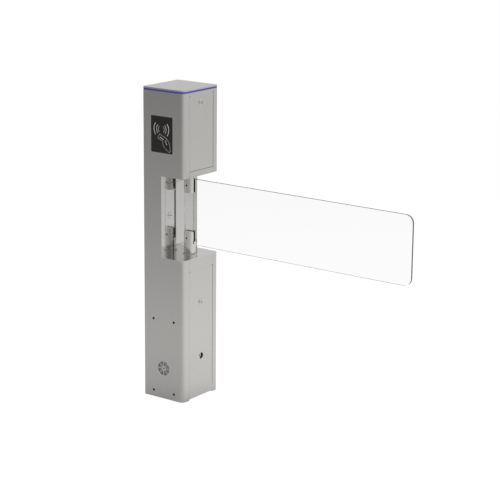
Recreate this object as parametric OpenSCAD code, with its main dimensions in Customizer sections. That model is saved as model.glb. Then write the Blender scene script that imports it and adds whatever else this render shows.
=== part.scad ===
// Glass swing barrier: a stainless column with a motor-driven glass wing.
// Millimetres, +Z up. The origin is the centre of the column's foot on the floor.
// +X is the way the closed wing points, and the card reader faces -Y.

/* [Column] */
// Width of the column, along the closed wing
col_w = 158; // [156:1:200]
// Depth of the column, across the wing
col_d = 172; // [165:1:215]
// Height from the floor to the top of the lid
col_h = 1000; // [960:1:1210]
// Thickness of the stainless sheet
sheet = 1.5; // [1.2:0.1:2]
// Radius of the upright corner between the reader face and the door face
front_corner_r = 18; // [8:1:22]
// Radius of the other upright corners
small_corner_r = 3; // [2.5:0.5:6]
// Depth of the folded door jambs
jamb_d = 14; // [12:1:18]

/* [Notch for the wing] */
// Height of the deck that closes the lower box
notch_bottom = 465; // [450:1:560]
// Height of the notch
notch_h = 260; // [255:1:270]
// Depth of the notch, from the door face
notch_depth = 86.5; // [84:0.5:90]
// Width of the back sheet left standing beside the notch wall
back_lip = 8; // [5:0.5:12]
// Depth of the fold at the edge of that back sheet
back_fold = 12; // [6:1:16]

/* [Lid and light] */
// Thickness of the lid plate
lid_t = 4.5; // [2:0.5:6]
// Height of the light strip under the lid
light_h = 5.5; // [4.5:0.5:12]
// Width of the light strip's ring
light_w = 8; // [6:0.5:10]
// How far the light strip lies inside the sheet's outer face
light_inset = 0.6; // [0:0.1:1.2]

/* [Swing axis] */
// Distance of the swing axis from the door face
axis_in = 46.8; // [44:0.2:50]
// Place of the swing axis across the wing
axis_y = 8; // [2:0.5:10]
// Diameter of the clamps and of the shaft's visible part
clamp_d = 38; // [30:1:40]
// Height of the upper clamp's grip
upper_clamp_h = 44; // [36:1:60]
// Height of the lower clamp
lower_clamp_h = 43; // [40:1:60]
// Thickness of the lower clamp's floor
clamp_floor = 11; // [8:1:14]
// Thickness of the upper clamp's cap
clamp_cap = 5; // [3:0.5:6]
// Diameter of the clamping screws
clamp_screw_d = 6; // [5:1:8]
// Height of the lower clamping screw above its clamp's foot
lower_screw_up = 22; // [20:1:28]
// Height of the upper clamping screw above its clamp's lower edge
upper_screw_up = 24; // [12:1:28]
// Height of the collar around the shaft on the deck
collar_h = 2.5; // [2:0.5:5]

/* [Glass wing] */
// Reach of the wing from the swing axis
glass_reach = 814; // [500:1:980]
// Height of the wing
glass_h = 212; // [190:1:214]
// Thickness of the glass
glass_t = 8; // [6:1:10]
// Radius of the wing's free corners
glass_corner_r = 25; // [10:1:40]
// Height of the wing's lower edge above the deck
glass_lift = 32; // [30:1:34]
// Thickness of the rubber between glass and clamp
rubber_t = 1; // [1:0.5:3]

/* [Doors] */
// Width of the door opening
door_w = 120; // [110:1:122]
// Place of the doors' centre across the wing
door_y = 6; // [2:0.5:8]
// Gap beside a door
door_gap = 0.6; // [0.5:0.1:0.8]
// Gap above a door
head_gap = 0.6; // [0.5:0.1:1]
// Gap below the upper door
sill_gap = 1.3; // [1:0.1:2]
// Inner radius of the doors' bends
bend_in = 0.8; // [0.4:0.1:1.2]
// Height of the lower door's bottom edge above the floor
lower_door_z = 4.5; // [4:0.5:8]
// Height of the lower door
lower_door_h = 421.5; // [380:0.5:430]
// Height of the upper door's bottom edge above the notch
upper_door_lift = 19.5; // [18:0.5:24]
// Distance from the lid's top down to the upper door's top edge
upper_door_drop = 20; // [18:0.5:30]
// Depth of the doors' folded edges
door_fold = 6; // [5:0.5:7]
// Diameter of the rods that the doors hook on
rod_d = 5; // [4:0.5:6]
// Distance of the upper door's rod below the door
upper_rod_drop = 12; // [12:0.5:14]

/* [Release switch] */
// Diameter of the hole in the lower door, in front of the key switch
switch_hole_d = 20; // [18:1:24]
// Height of the key switch
switch_z = 136.5; // [125:0.5:150]
// Place of the key switch across the wing
switch_y = 6.7; // [0:0.1:10]
// Depth of the key switch's face behind the door's face
switch_depth = 8; // [7.5:0.5:9]
// Diameter of the key switch's head
switch_head_d = 21; // [18:1:24]

/* [Cover in the notch wall] */
// Width of the cover
cover_w = 143; // [100:1:144]
// Height of the cover
cover_h = 204; // [150:1:210]
// Distance of the cover's near edge from the reader face
cover_front = 20; // [18:0.5:24]
// Height of the cover's lower edge above the deck
cover_lift = 27; // [22:1:35]
// Gap around the cover
cover_gap = 0.9; // [0.8:0.1:1.2]
// Radius of the cover's corners
cover_r = 5; // [2:0.5:10]
// Diameter of the cover's hinge rod
cover_rod_d = 3; // [2.5:0.5:4]

/* [Cam locks] */
// Diameter of a lock's head
lock_head_d = 22; // [20:1:26]
// Height of a lock's head
lock_head_h = 3; // [2:0.5:5]
// Diameter of a lock's barrel
lock_barrel_d = 18.8; // [16:0.2:19]
// Diameter of the plug that the key turns
lock_plug_d = 13; // [10:0.5:14]
// Length of the barrel behind the outer face
lock_depth = 12; // [11:0.5:13]
// Length of the cam from the lock's axis
cam_l = 30; // [28:1:34]
// Place of the door locks across the wing
lock_y = 4.3; // [0:0.1:10]
// Distance of the upper lock below the upper door's top edge
upper_lock_drop = 26; // [24:1:27]
// Height of the lower lock
lower_lock_z = 316; // [280:1:330]
// Distance of the cover's lock from the cover's near edge
cover_lock_in = 23.5; // [20:0.5:24]

/* [Reader and speaker] */
// Width of the reader window
reader_w = 85; // [70:1:90]
// Height of the reader window
reader_h = 114.5; // [90:0.5:130]
// Place of the window's centre along the wing
reader_x = -4.5; // [-10:0.5:0]
// Distance of the window's centre below the lid's top
reader_drop = 143.5; // [130:0.5:160]
// Outer radius of the speaker grille
grille_r = 22.5; // [18:0.5:26]
// Inner radius of the grille's openings
grille_inner_r = 8.5; // [6:0.5:10]
// Width of the grille's spokes
grille_spoke = 3; // [2:0.5:4]
// Height of the speaker's centre
speaker_z = 101; // [90:1:110]
// Spacing of the chassis screws across the reader face
chassis_screw_x = 82.5; // [70:0.5:90]
// Height of the lower chassis screws
chassis_screw_z = 21.7; // [20:0.1:30]
// Spacing of the chassis screws in height
chassis_screw_rise = 239; // [200:1:250]

/* [Foot] */
// Thickness of the base plate
base_t = 10; // [6:1:10]
// Spacing of the anchor holes along the wing
anchor_x = 96; // [80:1:104]
// Spacing of the anchor holes across the wing
anchor_y = 124; // [100:1:130]
// Diameter of the anchor holes
anchor_hole_d = 13; // [11:0.5:15]
// Diameter of the cable hole
cable_hole_d = 50; // [30:1:54]
// Place of the cable hole along the wing
cable_hole_x = 18; // [10:1:20]

/* [Drive] */
// Diameter of the shaft in its lower bearings
shaft_d = 20; // [17:1:22]
// Outer diameter of the lower bearings
bearing_d = 42; // [40:1:44]
// Width of a lower bearing
bearing_w = 12; // [10:1:14]
// Diameter of the motor and its gearbox
motor_d = 42; // [36:1:42]
// Length of the gearbox
gearbox_l = 52; // [40:1:60]
// Length of the motor
motor_l = 90; // [70:1:100]
// Length of the brake
brake_l = 28; // [20:1:35]
// Module of the encoder gears
gear_module = 1; // [0.8:0.1:1]
// Teeth on the shaft's gear
gear_teeth = 48; // [36:1:50]
// Teeth on the encoder's pinion
pinion_teeth = 16; // [14:1:18]

/* [Hidden] */
$fn = 64;

// Small clearance that separates faces in one piece's bore or slot
fit = 0.05;
// Room for a piece that is put in by hand
slack = 0.3;
// Extra length of a cut past the piece that it cuts
over = 5;

right_x = col_w / 2;
front_y = -col_d / 2;
back_y = col_d / 2;
inner_x = col_w / 2 - sheet;
inner_y = col_d / 2 - sheet;
shell_top = col_h - lid_t - light_h;
notch_top = notch_bottom + notch_h;
notch_x = right_x - notch_depth;
axis_x = right_x - axis_in;
clamp_r = clamp_d / 2;

glass_z = notch_bottom + glass_lift;
glass_top = glass_z + glass_h;
grip_w = glass_t + 2 * rubber_t;
grip_z = glass_z + clamp_floor;
upper_clamp_z = glass_top - upper_clamp_h;
upper_clamp_top = glass_top + rubber_t + clamp_cap;
upper_screw_z = upper_clamp_z + upper_screw_up;
lower_screw_z = glass_z + lower_screw_up;
rubber_r = clamp_r - 1.6;

door_lo = door_y - door_w / 2;
door_hi = door_y + door_w / 2;
lower_door_top = lower_door_z + lower_door_h;
upper_door_z = notch_top + upper_door_lift;
upper_door_top = col_h - upper_door_drop;
lower_rod = [right_x - sheet - rod_d / 2 - 1.5, lower_door_z + 11.5];
upper_rod = [right_x - sheet - rod_d / 2 - 2, upper_door_z - upper_rod_drop];
hook_t = 3;
hinge_relief = 1;
bend_out = bend_in + sheet;
corner_relief = bend_out + 0.3;
hook_spread = 35;

cover_y0 = front_y + cover_front;
cover_z0 = notch_bottom + cover_lift;
cover_rod_stand = 0.5;
cover_rod_x = notch_x - sheet - cover_rod_stand - cover_rod_d / 2;
cover_rod_y = cover_y0 + cover_w - 2.2;
cover_lug_h = 6;

upper_lock_z = upper_door_top - upper_lock_drop;
cover_lock_y = cover_y0 + cover_lock_in;
cover_lock_z = cover_z0 + cover_h / 2;
cam_t = 2;
cam_w = 12;
strike_gap = 0.5;
strike_x = right_x - lock_depth - 0.2 + strike_gap;
lock_hole_d = lock_barrel_d + 0.4;
plug_tail_d = 8;

switch_face_x = right_x - switch_depth;
switch_barrel_d = 16;
switch_plug_d = 10;
switch_plate_x = switch_face_x - 5;

battery_size = [65, 94, 151];
battery_x = -inner_x + 2;
supply_z = base_t + battery_size[2] + 14;
supply_h = 150;

frame_ring = 22;
lid_stud_in = 16;
lid_stud_d = 4;

window_t = 2;
reader_z = col_h - reader_drop;
chassis_gap = 8;
chassis_t = 2;
chassis_y = front_y + sheet + chassis_gap;
speaker_d = 2 * grille_r + 7;

deck_hole_r = clamp_r + 1;
flange_t = 5;
stud_d = 5;
stud_in = 9;
housing_d = bearing_d + 14;
housing_flange = 72;
pillar_spread = 60;
pillar_d = 9;
housing_top = notch_bottom - sheet;
bearing_top = housing_top - flange_t;
bearing_low = bearing_top - 40;
gear_z = bearing_low - 12;
gear_t = 7;
drive_plate_z = gear_z - 55;
drive_plate_t = 6;
gear_distance = gear_module * (gear_teeth + pinion_teeth) / 2;
encoder_x = axis_x - gear_distance;
coupling_d = 32;
coupling_z = drive_plate_z + drive_plate_t + 8;
hub_l = 12;
spider_l = 6;
motor_shaft_d = 10;
pin_d = 15;
pin_bearing_d = 32;
pin_bearing_w = 9;
pivot_bearing_up = 9;
pivot_housing_z = notch_top + sheet;
pivot_bearing_z = pivot_housing_z + pivot_bearing_up;

steel_colour = "silver";
dark_colour = "dimgray";
black_colour = [0.12, 0.12, 0.12];

// 2D waste outside a rounded corner at (px, py) that points along (sx, sy)
module corner_waste(px, py, sx, sy, r) {
  translate([px - sx * r, py - sy * r])
    difference() {
      translate([sx > 0 ? 0 : -r - 1, sy > 0 ? 0 : -r - 1]) square(r + 1);
      circle(r = r);
    }
}

// 2D outline of the column, drawn in by inset
module column_outline(inset) {
  w = col_w / 2 - inset;
  d = col_d / 2 - inset;
  small_r = max(small_corner_r - inset, 0.5);
  difference() {
    square([2 * w, 2 * d], center = true);
    corner_waste(w, -d, 1, -1, max(front_corner_r - inset, 0.5));
    corner_waste(w, d, 1, 1, small_r);
    corner_waste(-w, -d, -1, -1, small_r);
    corner_waste(-w, d, -1, 1, small_r);
  }
}

// 2D rectangle with four equal round corners, centred
module rounded_rect(w, h, r) {
  difference() {
    square([w, h], center = true);
    for (sx = [-1, 1], sy = [-1, 1]) corner_waste(sx * w / 2, sy * h / 2, sx, sy, r);
  }
}

// Places children on the reader face, with their +Z pointing out of it
module on_front(x, z) {
  translate([x, front_y, z]) rotate([90, 0, 0]) children();
}

// Places children on an upright face at x = face, with their +Z pointing along +X
module facing_right(face, y, z) {
  translate([face, y, z]) rotate([90, 0, 90]) children();
}

// Strip of the right face between the jambs
module door_band(z0, z1) {
  translate([right_x - sheet, door_lo + door_gap / 2, z0])
    cube([sheet, door_w - door_gap, z1 - z0]);
}

// Foot

module base_plate() {
  color(dark_colour)
    difference() {
      linear_extrude(base_t)
        difference() {
          column_outline(sheet);
          translate([right_x - jamb_d - slack, door_lo - sheet - slack])
            square([jamb_d, door_w + 2 * sheet + 2 * slack]);
        }
      for (x = [-1, 1], y = [-1, 1])
        translate([x * anchor_x / 2, y * anchor_y / 2, -over])
          cylinder(d = anchor_hole_d, h = base_t + 2 * over);
      translate([cable_hole_x, 0, -over]) cylinder(d = cable_hole_d, h = base_t + 2 * over);
    }
}

// Column sheet metal

module grille_openings(depth) {
  linear_extrude(depth)
    difference() {
      circle(r = grille_r);
      circle(r = grille_inner_r);
      for (a = [0:45:135]) rotate(a) square([2 * grille_r + over, grille_spoke], center = true);
    }
  cylinder(r = grille_spoke, h = depth);
}

module chassis_screw_places() {
  for (x = [-1, 1], z = [0, 1])
    on_front(x * chassis_screw_x / 2, chassis_screw_z + z * chassis_screw_rise) children();
}

module housing_shell() {
  color(steel_colour) {
    difference() {
      union() {
        linear_extrude(shell_top)
          difference() {
            column_outline(0);
            column_outline(sheet);
            translate([inner_x - 1, door_lo]) square([sheet + over, door_w]);
          }
        for (y = [door_lo - sheet, door_hi])
          translate([right_x - jamb_d, y, 0]) cube([jamb_d - sheet / 2, sheet, shell_top]);
      }
      translate([notch_x, -col_d, notch_bottom - sheet])
        cube([col_w, col_d + inner_y, notch_h + 2 * sheet]);
      translate([notch_x + back_lip, 0, notch_bottom - sheet])
        cube([col_w, col_d, notch_h + 2 * sheet]);
      on_front(reader_x, reader_z)
        translate([0, 0, -over]) linear_extrude(2 * over) rounded_rect(reader_w, reader_h, 2);
      on_front(0, speaker_z) translate([0, 0, -over]) grille_openings(2 * over);
      chassis_screw_places() translate([0, 0, -over]) cylinder(d = 5.4, h = 2 * over);
      for (rod = [lower_rod, upper_rod])
        translate([rod[0], -col_d / 2 + front_corner_r, rod[1]])
          rotate([-90, 0, 0]) cylinder(d = rod_d + 2 * fit, h = inner_y - 5 + col_d / 2 - front_corner_r);
    }
    translate([notch_x + back_lip - sheet, back_y - back_fold, notch_bottom])
      cube([sheet, back_fold - sheet / 2, notch_h]);
  }
}

module notch_floor_outline() {
  difference() {
    intersection() {
      column_outline(0);
      translate([notch_x, -col_d]) square([col_w, 2 * col_d]);
    }
    translate([notch_x - over, inner_y]) square([back_lip + over, sheet + over]);
  }
}

module deck_plate() {
  color(steel_colour)
    difference() {
      translate([0, 0, notch_bottom - sheet]) linear_extrude(sheet) notch_floor_outline();
      translate([axis_x, axis_y, notch_bottom - sheet - over]) cylinder(r = deck_hole_r, h = sheet + 2 * over);
    }
}

module ceiling_plate() {
  color(steel_colour)
    difference() {
      union() {
        translate([0, 0, notch_top]) linear_extrude(sheet) notch_floor_outline();
        door_band(notch_top + sheet / 2, upper_door_z - sill_gap);
      }
      translate([axis_x, axis_y, notch_top - over]) cylinder(d = pin_d + 3, h = sheet + 2 * over);
    }
}

module notch_wall() {
  tuck = 12;
  color(steel_colour)
    difference() {
      union() {
        translate([notch_x - sheet, -inner_y, notch_bottom - sheet - tuck])
          cube([sheet, 2 * inner_y, notch_h + 2 * sheet + 2 * tuck]);
        for (z = [cover_z0 - cover_gap - cover_lug_h, cover_z0 + cover_h + cover_gap])
          translate([cover_rod_x - 3, cover_rod_y - 3, z])
            cube([notch_x - sheet - cover_rod_x + 3, 6, cover_lug_h]);
        translate([notch_x - lock_depth - 0.2 + strike_gap, cover_y0 - cover_gap - 6, cover_lock_z - 10])
          cube([lock_depth + 0.2 - strike_gap - sheet, sheet, 20]);
        translate([notch_x - lock_depth - 0.2 + strike_gap, cover_y0 - cover_gap - 6, cover_lock_z - 10])
          cube([sheet, 5, 20]);
      }
      facing_right(notch_x, cover_y0 + cover_w / 2, cover_z0 + cover_h / 2)
        translate([0, 0, -sheet - 1.4])
          linear_extrude(2 * sheet)
            rounded_rect(cover_w + 2 * cover_gap, cover_h + 2 * cover_gap, cover_r + cover_gap);
      translate([cover_rod_x, cover_rod_y, cover_z0 - over - cover_lug_h])
        cylinder(d = cover_rod_d + 2 * fit, h = cover_h + 2 * over + 2 * cover_lug_h);
    }
}

module top_frame() {
  color(steel_colour)
    difference() {
      union() {
        translate([0, 0, shell_top - sheet])
          linear_extrude(sheet)
            difference() {
              union() {
                column_outline(sheet);
                translate([inner_x - 1, door_lo + door_gap / 2]) square([sheet + 1, door_w - door_gap]);
              }
              column_outline(sheet + frame_ring);
            }
        door_band(upper_door_top + head_gap, shell_top - sheet / 2);
        translate([strike_x, lock_y - 12, upper_lock_z + cam_l - 8])
          cube([sheet, 24, shell_top - sheet / 2 - upper_lock_z - cam_l + 8]);
      }
      for (y = [-1, 1])
        translate([right_x - jamb_d - 1, door_y + y * door_w / 2 + (y < 0 ? -sheet - slack : -slack), 0])
          cube([jamb_d, sheet + 2 * slack, col_h]);
      lid_stud_places() translate([0, 0, -lid_t - 4 * over]) cylinder(d = lid_stud_d + 0.6, h = 4 * over);
    }
}

// Lid and light

module lid_stud_places() {
  in = sheet + lid_stud_in;
  for (x = [-1, 1], y = [-1, 1])
    translate([x * (right_x - in), y * (back_y - in), col_h]) children();
}

module lid() {
  color(steel_colour) {
    translate([0, 0, col_h - lid_t]) linear_extrude(lid_t) column_outline(0);
    lid_stud_places()
      translate([0, 0, -lid_t - light_h - sheet - 7]) cylinder(d = lid_stud_d, h = light_h + sheet + 7.5);
  }
}

module lid_nuts() {
  color(dark_colour)
    lid_stud_places()
      translate([0, 0, -lid_t - light_h - sheet - 3.2])
        difference() {
          cylinder(d = 8.1, h = 3.2, $fn = 6);
          translate([0, 0, -over]) cylinder(d = lid_stud_d + 2 * fit, h = 3.2 + 2 * over, $fn = 32);
        }
}

module light_strip() {
  color([0.28, 0.28, 0.65])
    translate([0, 0, shell_top])
      linear_extrude(light_h)
        difference() {
          column_outline(light_inset);
          column_outline(light_inset + light_w);
        }
}

module led_board() {
  in = light_inset + light_w + slack;
  ring = 4;
  led = 2.8;
  count_x = 7;
  count_y = 8;
  x_run = col_w - 2 * in - 2 * ring - 16;
  y_run = col_d - 2 * in - 2 * ring - 16;
  color("whitesmoke") {
    translate([0, 0, shell_top])
      linear_extrude(1.6)
        difference() {
          column_outline(in);
          column_outline(in + ring);
        }
    for (i = [0:count_x - 1], s = [-1, 1])
      translate([(i / (count_x - 1) - 0.5) * x_run, s * (back_y - in - ring / 2), shell_top + 2.2])
        cube([led, led, 1.4], center = true);
    for (i = [0:count_y - 1], s = [-1, 1])
      translate([s * (right_x - in - ring / 2), (i / (count_y - 1) - 0.5) * y_run, shell_top + 2.2])
        cube([led, led, 1.4], center = true);
  }
}

// Doors and what they hang on

module door_rods() {
  color(dark_colour)
    for (rod = [lower_rod, upper_rod])
      translate([rod[0], door_lo - sheet - 1, rod[1]])
        rotate([-90, 0, 0]) cylinder(d = rod_d, h = door_w + 2 * sheet + 2);
}

// Strip across the door opening, with its front at x and its ends folded back along the jambs
module crossbar(x, z0, bar_h, fold) {
  translate([x - sheet, door_lo, z0]) {
    cube([sheet, door_w, bar_h]);
    for (y = [0, door_w - sheet]) translate([-fold, y, 0]) cube([fold + sheet / 2, sheet, bar_h]);
  }
}

module crossbars() {
  lock_bar_h = 16;
  switch_bar_h = 32;
  bar_fold = 8;
  color(steel_colour) {
    door_band(lower_door_top + head_gap, notch_bottom - sheet);
    translate([right_x - bar_fold, door_lo + door_gap / 2, notch_bottom - 2 * sheet])
      cube([bar_fold - sheet / 2, door_w - door_gap, sheet]);
    crossbar(strike_x + sheet, lower_lock_z + cam_l - lock_bar_h, lock_bar_h, bar_fold);
    difference() {
      crossbar(switch_plate_x, switch_z - switch_bar_h / 2, switch_bar_h, bar_fold);
      facing_right(switch_plate_x, switch_y, switch_z)
        translate([0, 0, -over]) cylinder(d = switch_barrel_d + 2 * fit, h = 2 * over);
    }
  }
}

// Key switch behind the lower door's hole, drawn around its axis with its face at z = 0
module key_switch() {
  nut_h = 4;
  body_l = 24;
  plate_z = switch_plate_x - switch_face_x;
  color("gainsboro")
    facing_right(switch_face_x, switch_y, switch_z) {
      difference() {
        union() {
          rotate_extrude()
            polygon([[0, plate_z], [switch_head_d / 2, plate_z], [switch_head_d / 2, -1.5],
                     [switch_head_d / 2 - 1.5, 0], [0, 0]]);
          translate([0, 0, plate_z - body_l]) cylinder(d = switch_barrel_d, h = body_l + 1);
        }
        translate([0, 0, plate_z - 12]) cylinder(d = switch_plug_d + 2 * fit, h = 20);
      }
      translate([0, 0, plate_z - sheet - nut_h])
        difference() {
          cylinder(d = 23, h = nut_h, $fn = 6);
          translate([0, 0, -over]) cylinder(d = switch_barrel_d + 2 * fit, h = nut_h + 2 * over);
        }
    }
}

module key_switch_plug() {
  plug_l = switch_face_x - switch_plate_x + 11.5;
  color("darkgray")
    facing_right(switch_face_x, switch_y, switch_z)
      difference() {
        translate([0, 0, -plug_l]) cylinder(d = switch_plug_d, h = plug_l);
        translate([-0.9, -3.5, -6]) cube([1.8, 7, 10]);
      }
}

// One hook plate around a rod at the origin, drawn in the X-Z plane and hook_t thick
module hook_plate(points) {
  throat = rod_d / 2 + fit;
  rotate([90, 0, 0])
    translate([0, 0, -hook_t / 2])
      linear_extrude(hook_t)
        difference() {
          polygon(points);
          circle(r = throat);
          translate([-throat, -20]) square([2 * throat, 20]);
        }
}

// 2D section of a door's plate, its side edges folded back from x = 0 to x = -door_fold
module door_section(w) {
  difference() {
    translate([-door_fold, 0]) square([door_fold + sheet, w]);
    corner_waste(sheet, 0, 1, -1, bend_out);
    corner_waste(sheet, w, 1, 1, bend_out);
    difference() {
      translate([-door_fold - over, sheet]) square([door_fold + over, w - 2 * sheet]);
      corner_waste(0, sheet, 1, -1, bend_in);
      corner_waste(0, w - sheet, 1, 1, bend_in);
    }
  }
}

// 2D section of a door's folded top edge, which ends at y = 0
module door_top_section(leg) {
  difference() {
    translate([-door_fold, -leg]) square([door_fold + sheet, leg]);
    corner_waste(sheet, 0, 1, 1, bend_out);
    difference() {
      translate([-door_fold - over, -leg - over]) square([door_fold + over, leg + over - sheet]);
      corner_waste(0, -sheet, 1, 1, bend_in);
    }
  }
}

// Door plate with its side and top edges folded back, open at the corners where the folds meet
module door_leaf(z0, z1, fold_z) {
  y0 = door_lo + door_gap;
  w = door_w - 2 * door_gap;
  translate([right_x - sheet, y0, 0]) {
    translate([0, 0, z0]) cube([sheet, w, fold_z + 1 - z0]);
    translate([0, 0, fold_z]) linear_extrude(z1 - corner_relief - fold_z) door_section(w);
    translate([0, w - corner_relief, z1])
      rotate([90, 0, 0]) linear_extrude(w - 2 * corner_relief) door_top_section(corner_relief + 1);
  }
}

module lower_door() {
  reach = right_x - sheet / 2 - lower_rod[0];
  color(steel_colour)
    difference() {
      union() {
        door_leaf(lower_door_z, lower_door_top, lower_rod[1] + 12);
        for (s = [-1, 1])
          translate([lower_rod[0], door_y + s * hook_spread, lower_rod[1]])
            hook_plate([[-6, -3], [reach, -3], [reach, 16], [-1, 16], [-6, 8]]);
      }
      facing_right(right_x, lock_y, lower_lock_z) translate([0, 0, -over]) cylinder(d = lock_hole_d, h = 2 * over);
      facing_right(right_x, switch_y, switch_z)
        translate([0, 0, -over]) cylinder(d = switch_hole_d, h = 2 * over);
    }
}

module upper_door() {
  lift = upper_rod_drop + hinge_relief;
  reach = right_x - sheet / 2 - upper_rod[0];
  lip = right_x - sheet - upper_rod[0] - 0.6;
  color(steel_colour)
    difference() {
      union() {
        door_leaf(upper_door_z, upper_door_top, upper_door_z + hinge_relief);
        for (s = [-1, 1])
          translate([upper_rod[0], door_y + s * hook_spread, upper_rod[1]])
            hook_plate([[-6, -2.5], [lip, -2.5], [lip, 1], [0.4, lift - 2], [0.4, lift], [reach, lift],
                        [reach, lift + 10], [-2, lift + 10], [-6, lift - 3]]);
      }
      facing_right(right_x, lock_y, upper_lock_z) translate([0, 0, -over]) cylinder(d = lock_hole_d, h = 2 * over);
    }
}

module notch_cover() {
  color(steel_colour)
    difference() {
      union() {
        facing_right(notch_x, cover_y0 + cover_w / 2, cover_z0 + cover_h / 2)
          translate([0, 0, -sheet]) linear_extrude(sheet) rounded_rect(cover_w, cover_h, cover_r);
        translate([cover_rod_x, cover_rod_y, cover_z0 - cover_gap - cover_lug_h])
          cylinder(d = cover_rod_d, h = cover_h + 2 * cover_gap + 2 * cover_lug_h);
        for (z = [cover_z0 + 12, cover_z0 + cover_h - 22])
          translate([cover_rod_x, cover_rod_y - 6, z]) cube([notch_x - sheet / 2 - cover_rod_x, 5.5, 10]);
      }
      facing_right(notch_x, cover_lock_y, cover_lock_z)
        translate([0, 0, -over]) cylinder(d = lock_hole_d, h = 2 * over);
    }
}

// Cam locks, drawn around their axis with the outer face of the sheet at z = 0

module lock_body() {
  nut_h = 3;
  color("gainsboro") {
    difference() {
      union() {
        rotate_extrude()
          polygon([[0, 0], [lock_head_d / 2, 0], [lock_head_d / 2, 1], [lock_head_d / 2 - 2, lock_head_h],
                   [0, lock_head_h]]);
        translate([0, 0, -lock_depth]) cylinder(d = lock_barrel_d, h = lock_depth + 1);
      }
      translate([0, 0, -lock_depth - over]) cylinder(d = lock_plug_d + 2 * fit, h = lock_depth + 3 * over);
    }
    translate([0, 0, -sheet - nut_h])
      difference() {
        cylinder(d = 27, h = nut_h, $fn = 6);
        translate([0, 0, -over]) cylinder(d = lock_barrel_d + 2 * fit, h = nut_h + 2 * over);
      }
  }
}

module lock_plug() {
  face = lock_head_h + 0.4;
  color("darkgray")
    difference() {
      union() {
        translate([0, 0, -lock_depth - 0.2]) cylinder(d = lock_plug_d, h = lock_depth + 0.2 + face);
        translate([0, 0, -lock_depth - 0.2 - cam_t]) cylinder(d = plug_tail_d, h = cam_t + 1);
      }
      translate([-1.2, -4, face - 7]) cube([2.4, 8, 10]);
    }
}

module lock_cam() {
  color("goldenrod") {
    translate([0, 0, -lock_depth - 0.2 - cam_t])
      linear_extrude(cam_t)
        difference() {
          union() {
            circle(d = 17);
            translate([0, -cam_w / 2]) square([cam_l - 3, cam_w]);
            translate([cam_l - 3 - over, -cam_w / 2 + 3]) square([over + 3, cam_w - 6]);
            for (s = [-1, 1]) translate([cam_l - 3, s * (cam_w / 2 - 3)]) circle(r = 3);
          }
          circle(d = plug_tail_d + 2 * fit);
        }
    translate([0, 0, -lock_depth - 0.2 - cam_t - 2.5]) cylinder(d = 11, h = 2.5);
  }
}

module at_lower_lock() {
  facing_right(right_x, lock_y, lower_lock_z) children();
}

module at_upper_lock() {
  facing_right(right_x, lock_y, upper_lock_z) children();
}

module at_cover_lock() {
  facing_right(notch_x, cover_lock_y, cover_lock_z) rotate(90) children();
}

// Reader, speaker and electronics

module reader_window() {
  color(black_colour)
    on_front(reader_x, reader_z) {
      translate([0, 0, -sheet]) linear_extrude(sheet) rounded_rect(reader_w - 0.3, reader_h - 0.3, 1.9);
      translate([0, 0, -sheet - window_t]) linear_extrude(window_t) rounded_rect(reader_w + 10, reader_h + 10, 3);
    }
}

module reader_module() {
  depth = 16;
  w = reader_w - 13;
  h = reader_h - 18;
  color("darkslategray")
    on_front(reader_x, reader_z)
      translate([0, 0, -sheet - window_t - depth]) {
        linear_extrude(depth) rounded_rect(w, h, 4);
        for (s = [-1, 1]) translate([s * w / 2, 0, 0]) linear_extrude(3) rounded_rect(16, 30, 3);
        translate([0, -h / 4, -6]) linear_extrude(7) square([24, 10], center = true);
      }
}

module speaker() {
  basket = 5;
  magnet_d = 26;
  color(black_colour)
    on_front(0, speaker_z)
      translate([0, 0, -sheet])
        rotate_extrude()
          polygon([[0, -7], [6, -6], [grille_r - 1, -1.5], [grille_r - 1, 0], [speaker_d / 2, 0],
                   [speaker_d / 2, -2], [grille_r + 1, -2], [magnet_d / 2 + 3, -13], [magnet_d / 2 + 3, -15],
                   [magnet_d / 2, -15], [magnet_d / 2, -18 - basket], [0, -18 - basket]]);
}

module chassis_plate() {
  h = chassis_screw_rise + 22;
  color("lightgray")
    difference() {
      union() {
        on_front(0, chassis_screw_z + chassis_screw_rise / 2)
          translate([0, 0, -sheet - chassis_gap - chassis_t])
            linear_extrude(chassis_t) rounded_rect(chassis_screw_x + 18, h, 4);
        chassis_screw_places() translate([0, 0, -sheet - chassis_gap]) cylinder(d = 10, h = chassis_gap);
      }
      on_front(0, speaker_z) translate([0, 0, -30]) cylinder(d = speaker_d + 5, h = 29);
      chassis_screw_places() translate([0, 0, -20]) cylinder(d = 4.2 + 2 * fit, h = 20);
    }
}

module chassis_screws() {
  color(dark_colour)
    chassis_screw_places()
      difference() {
        union() {
          translate([0, 0, -sheet]) cylinder(d = 5.2, h = sheet);
          translate([0, 0, -sheet - chassis_gap - chassis_t - 2]) cylinder(d = 4.2, h = chassis_gap + chassis_t + 3);
        }
        translate([0, 0, -1.2]) cylinder(d = 3, h = 3, $fn = 6);
      }
}

module controller_board() {
  w = chassis_screw_x - 6;
  h = 100;
  board_z = chassis_screw_z + chassis_screw_rise - 12 - h / 2;
  stand = 5;
  board = 1.6;
  color("seagreen")
    translate([0, chassis_y + chassis_t, board_z])
      rotate([-90, 0, 0]) {
        translate([0, 0, stand]) linear_extrude(board) rounded_rect(w, h, 2);
        for (x = [-1, 1], y = [-1, 1])
          translate([x * (w / 2 - 5), y * (h / 2 - 5), 0]) cylinder(d = 6, h = stand);
        for (y = [-1, 1]) translate([-w / 2 + 8, y * (h / 2 - 5) - 4.5, stand + board]) cube([w - 16, 9, 9]);
        for (i = [0:2]) translate([-24 + i * 17, -18, stand + board]) cube([14, 10, 12]);
        for (i = [0:1]) translate([-20 + i * 16, 14, stand + board]) cylinder(d = 12, h = 16);
        for (i = [0:5]) translate([14 + i * 3, 4, stand + board]) cube([1.5, 26, 14]);
        translate([12, 4, stand + board]) cube([19, 26, 2]);
      }
}

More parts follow.
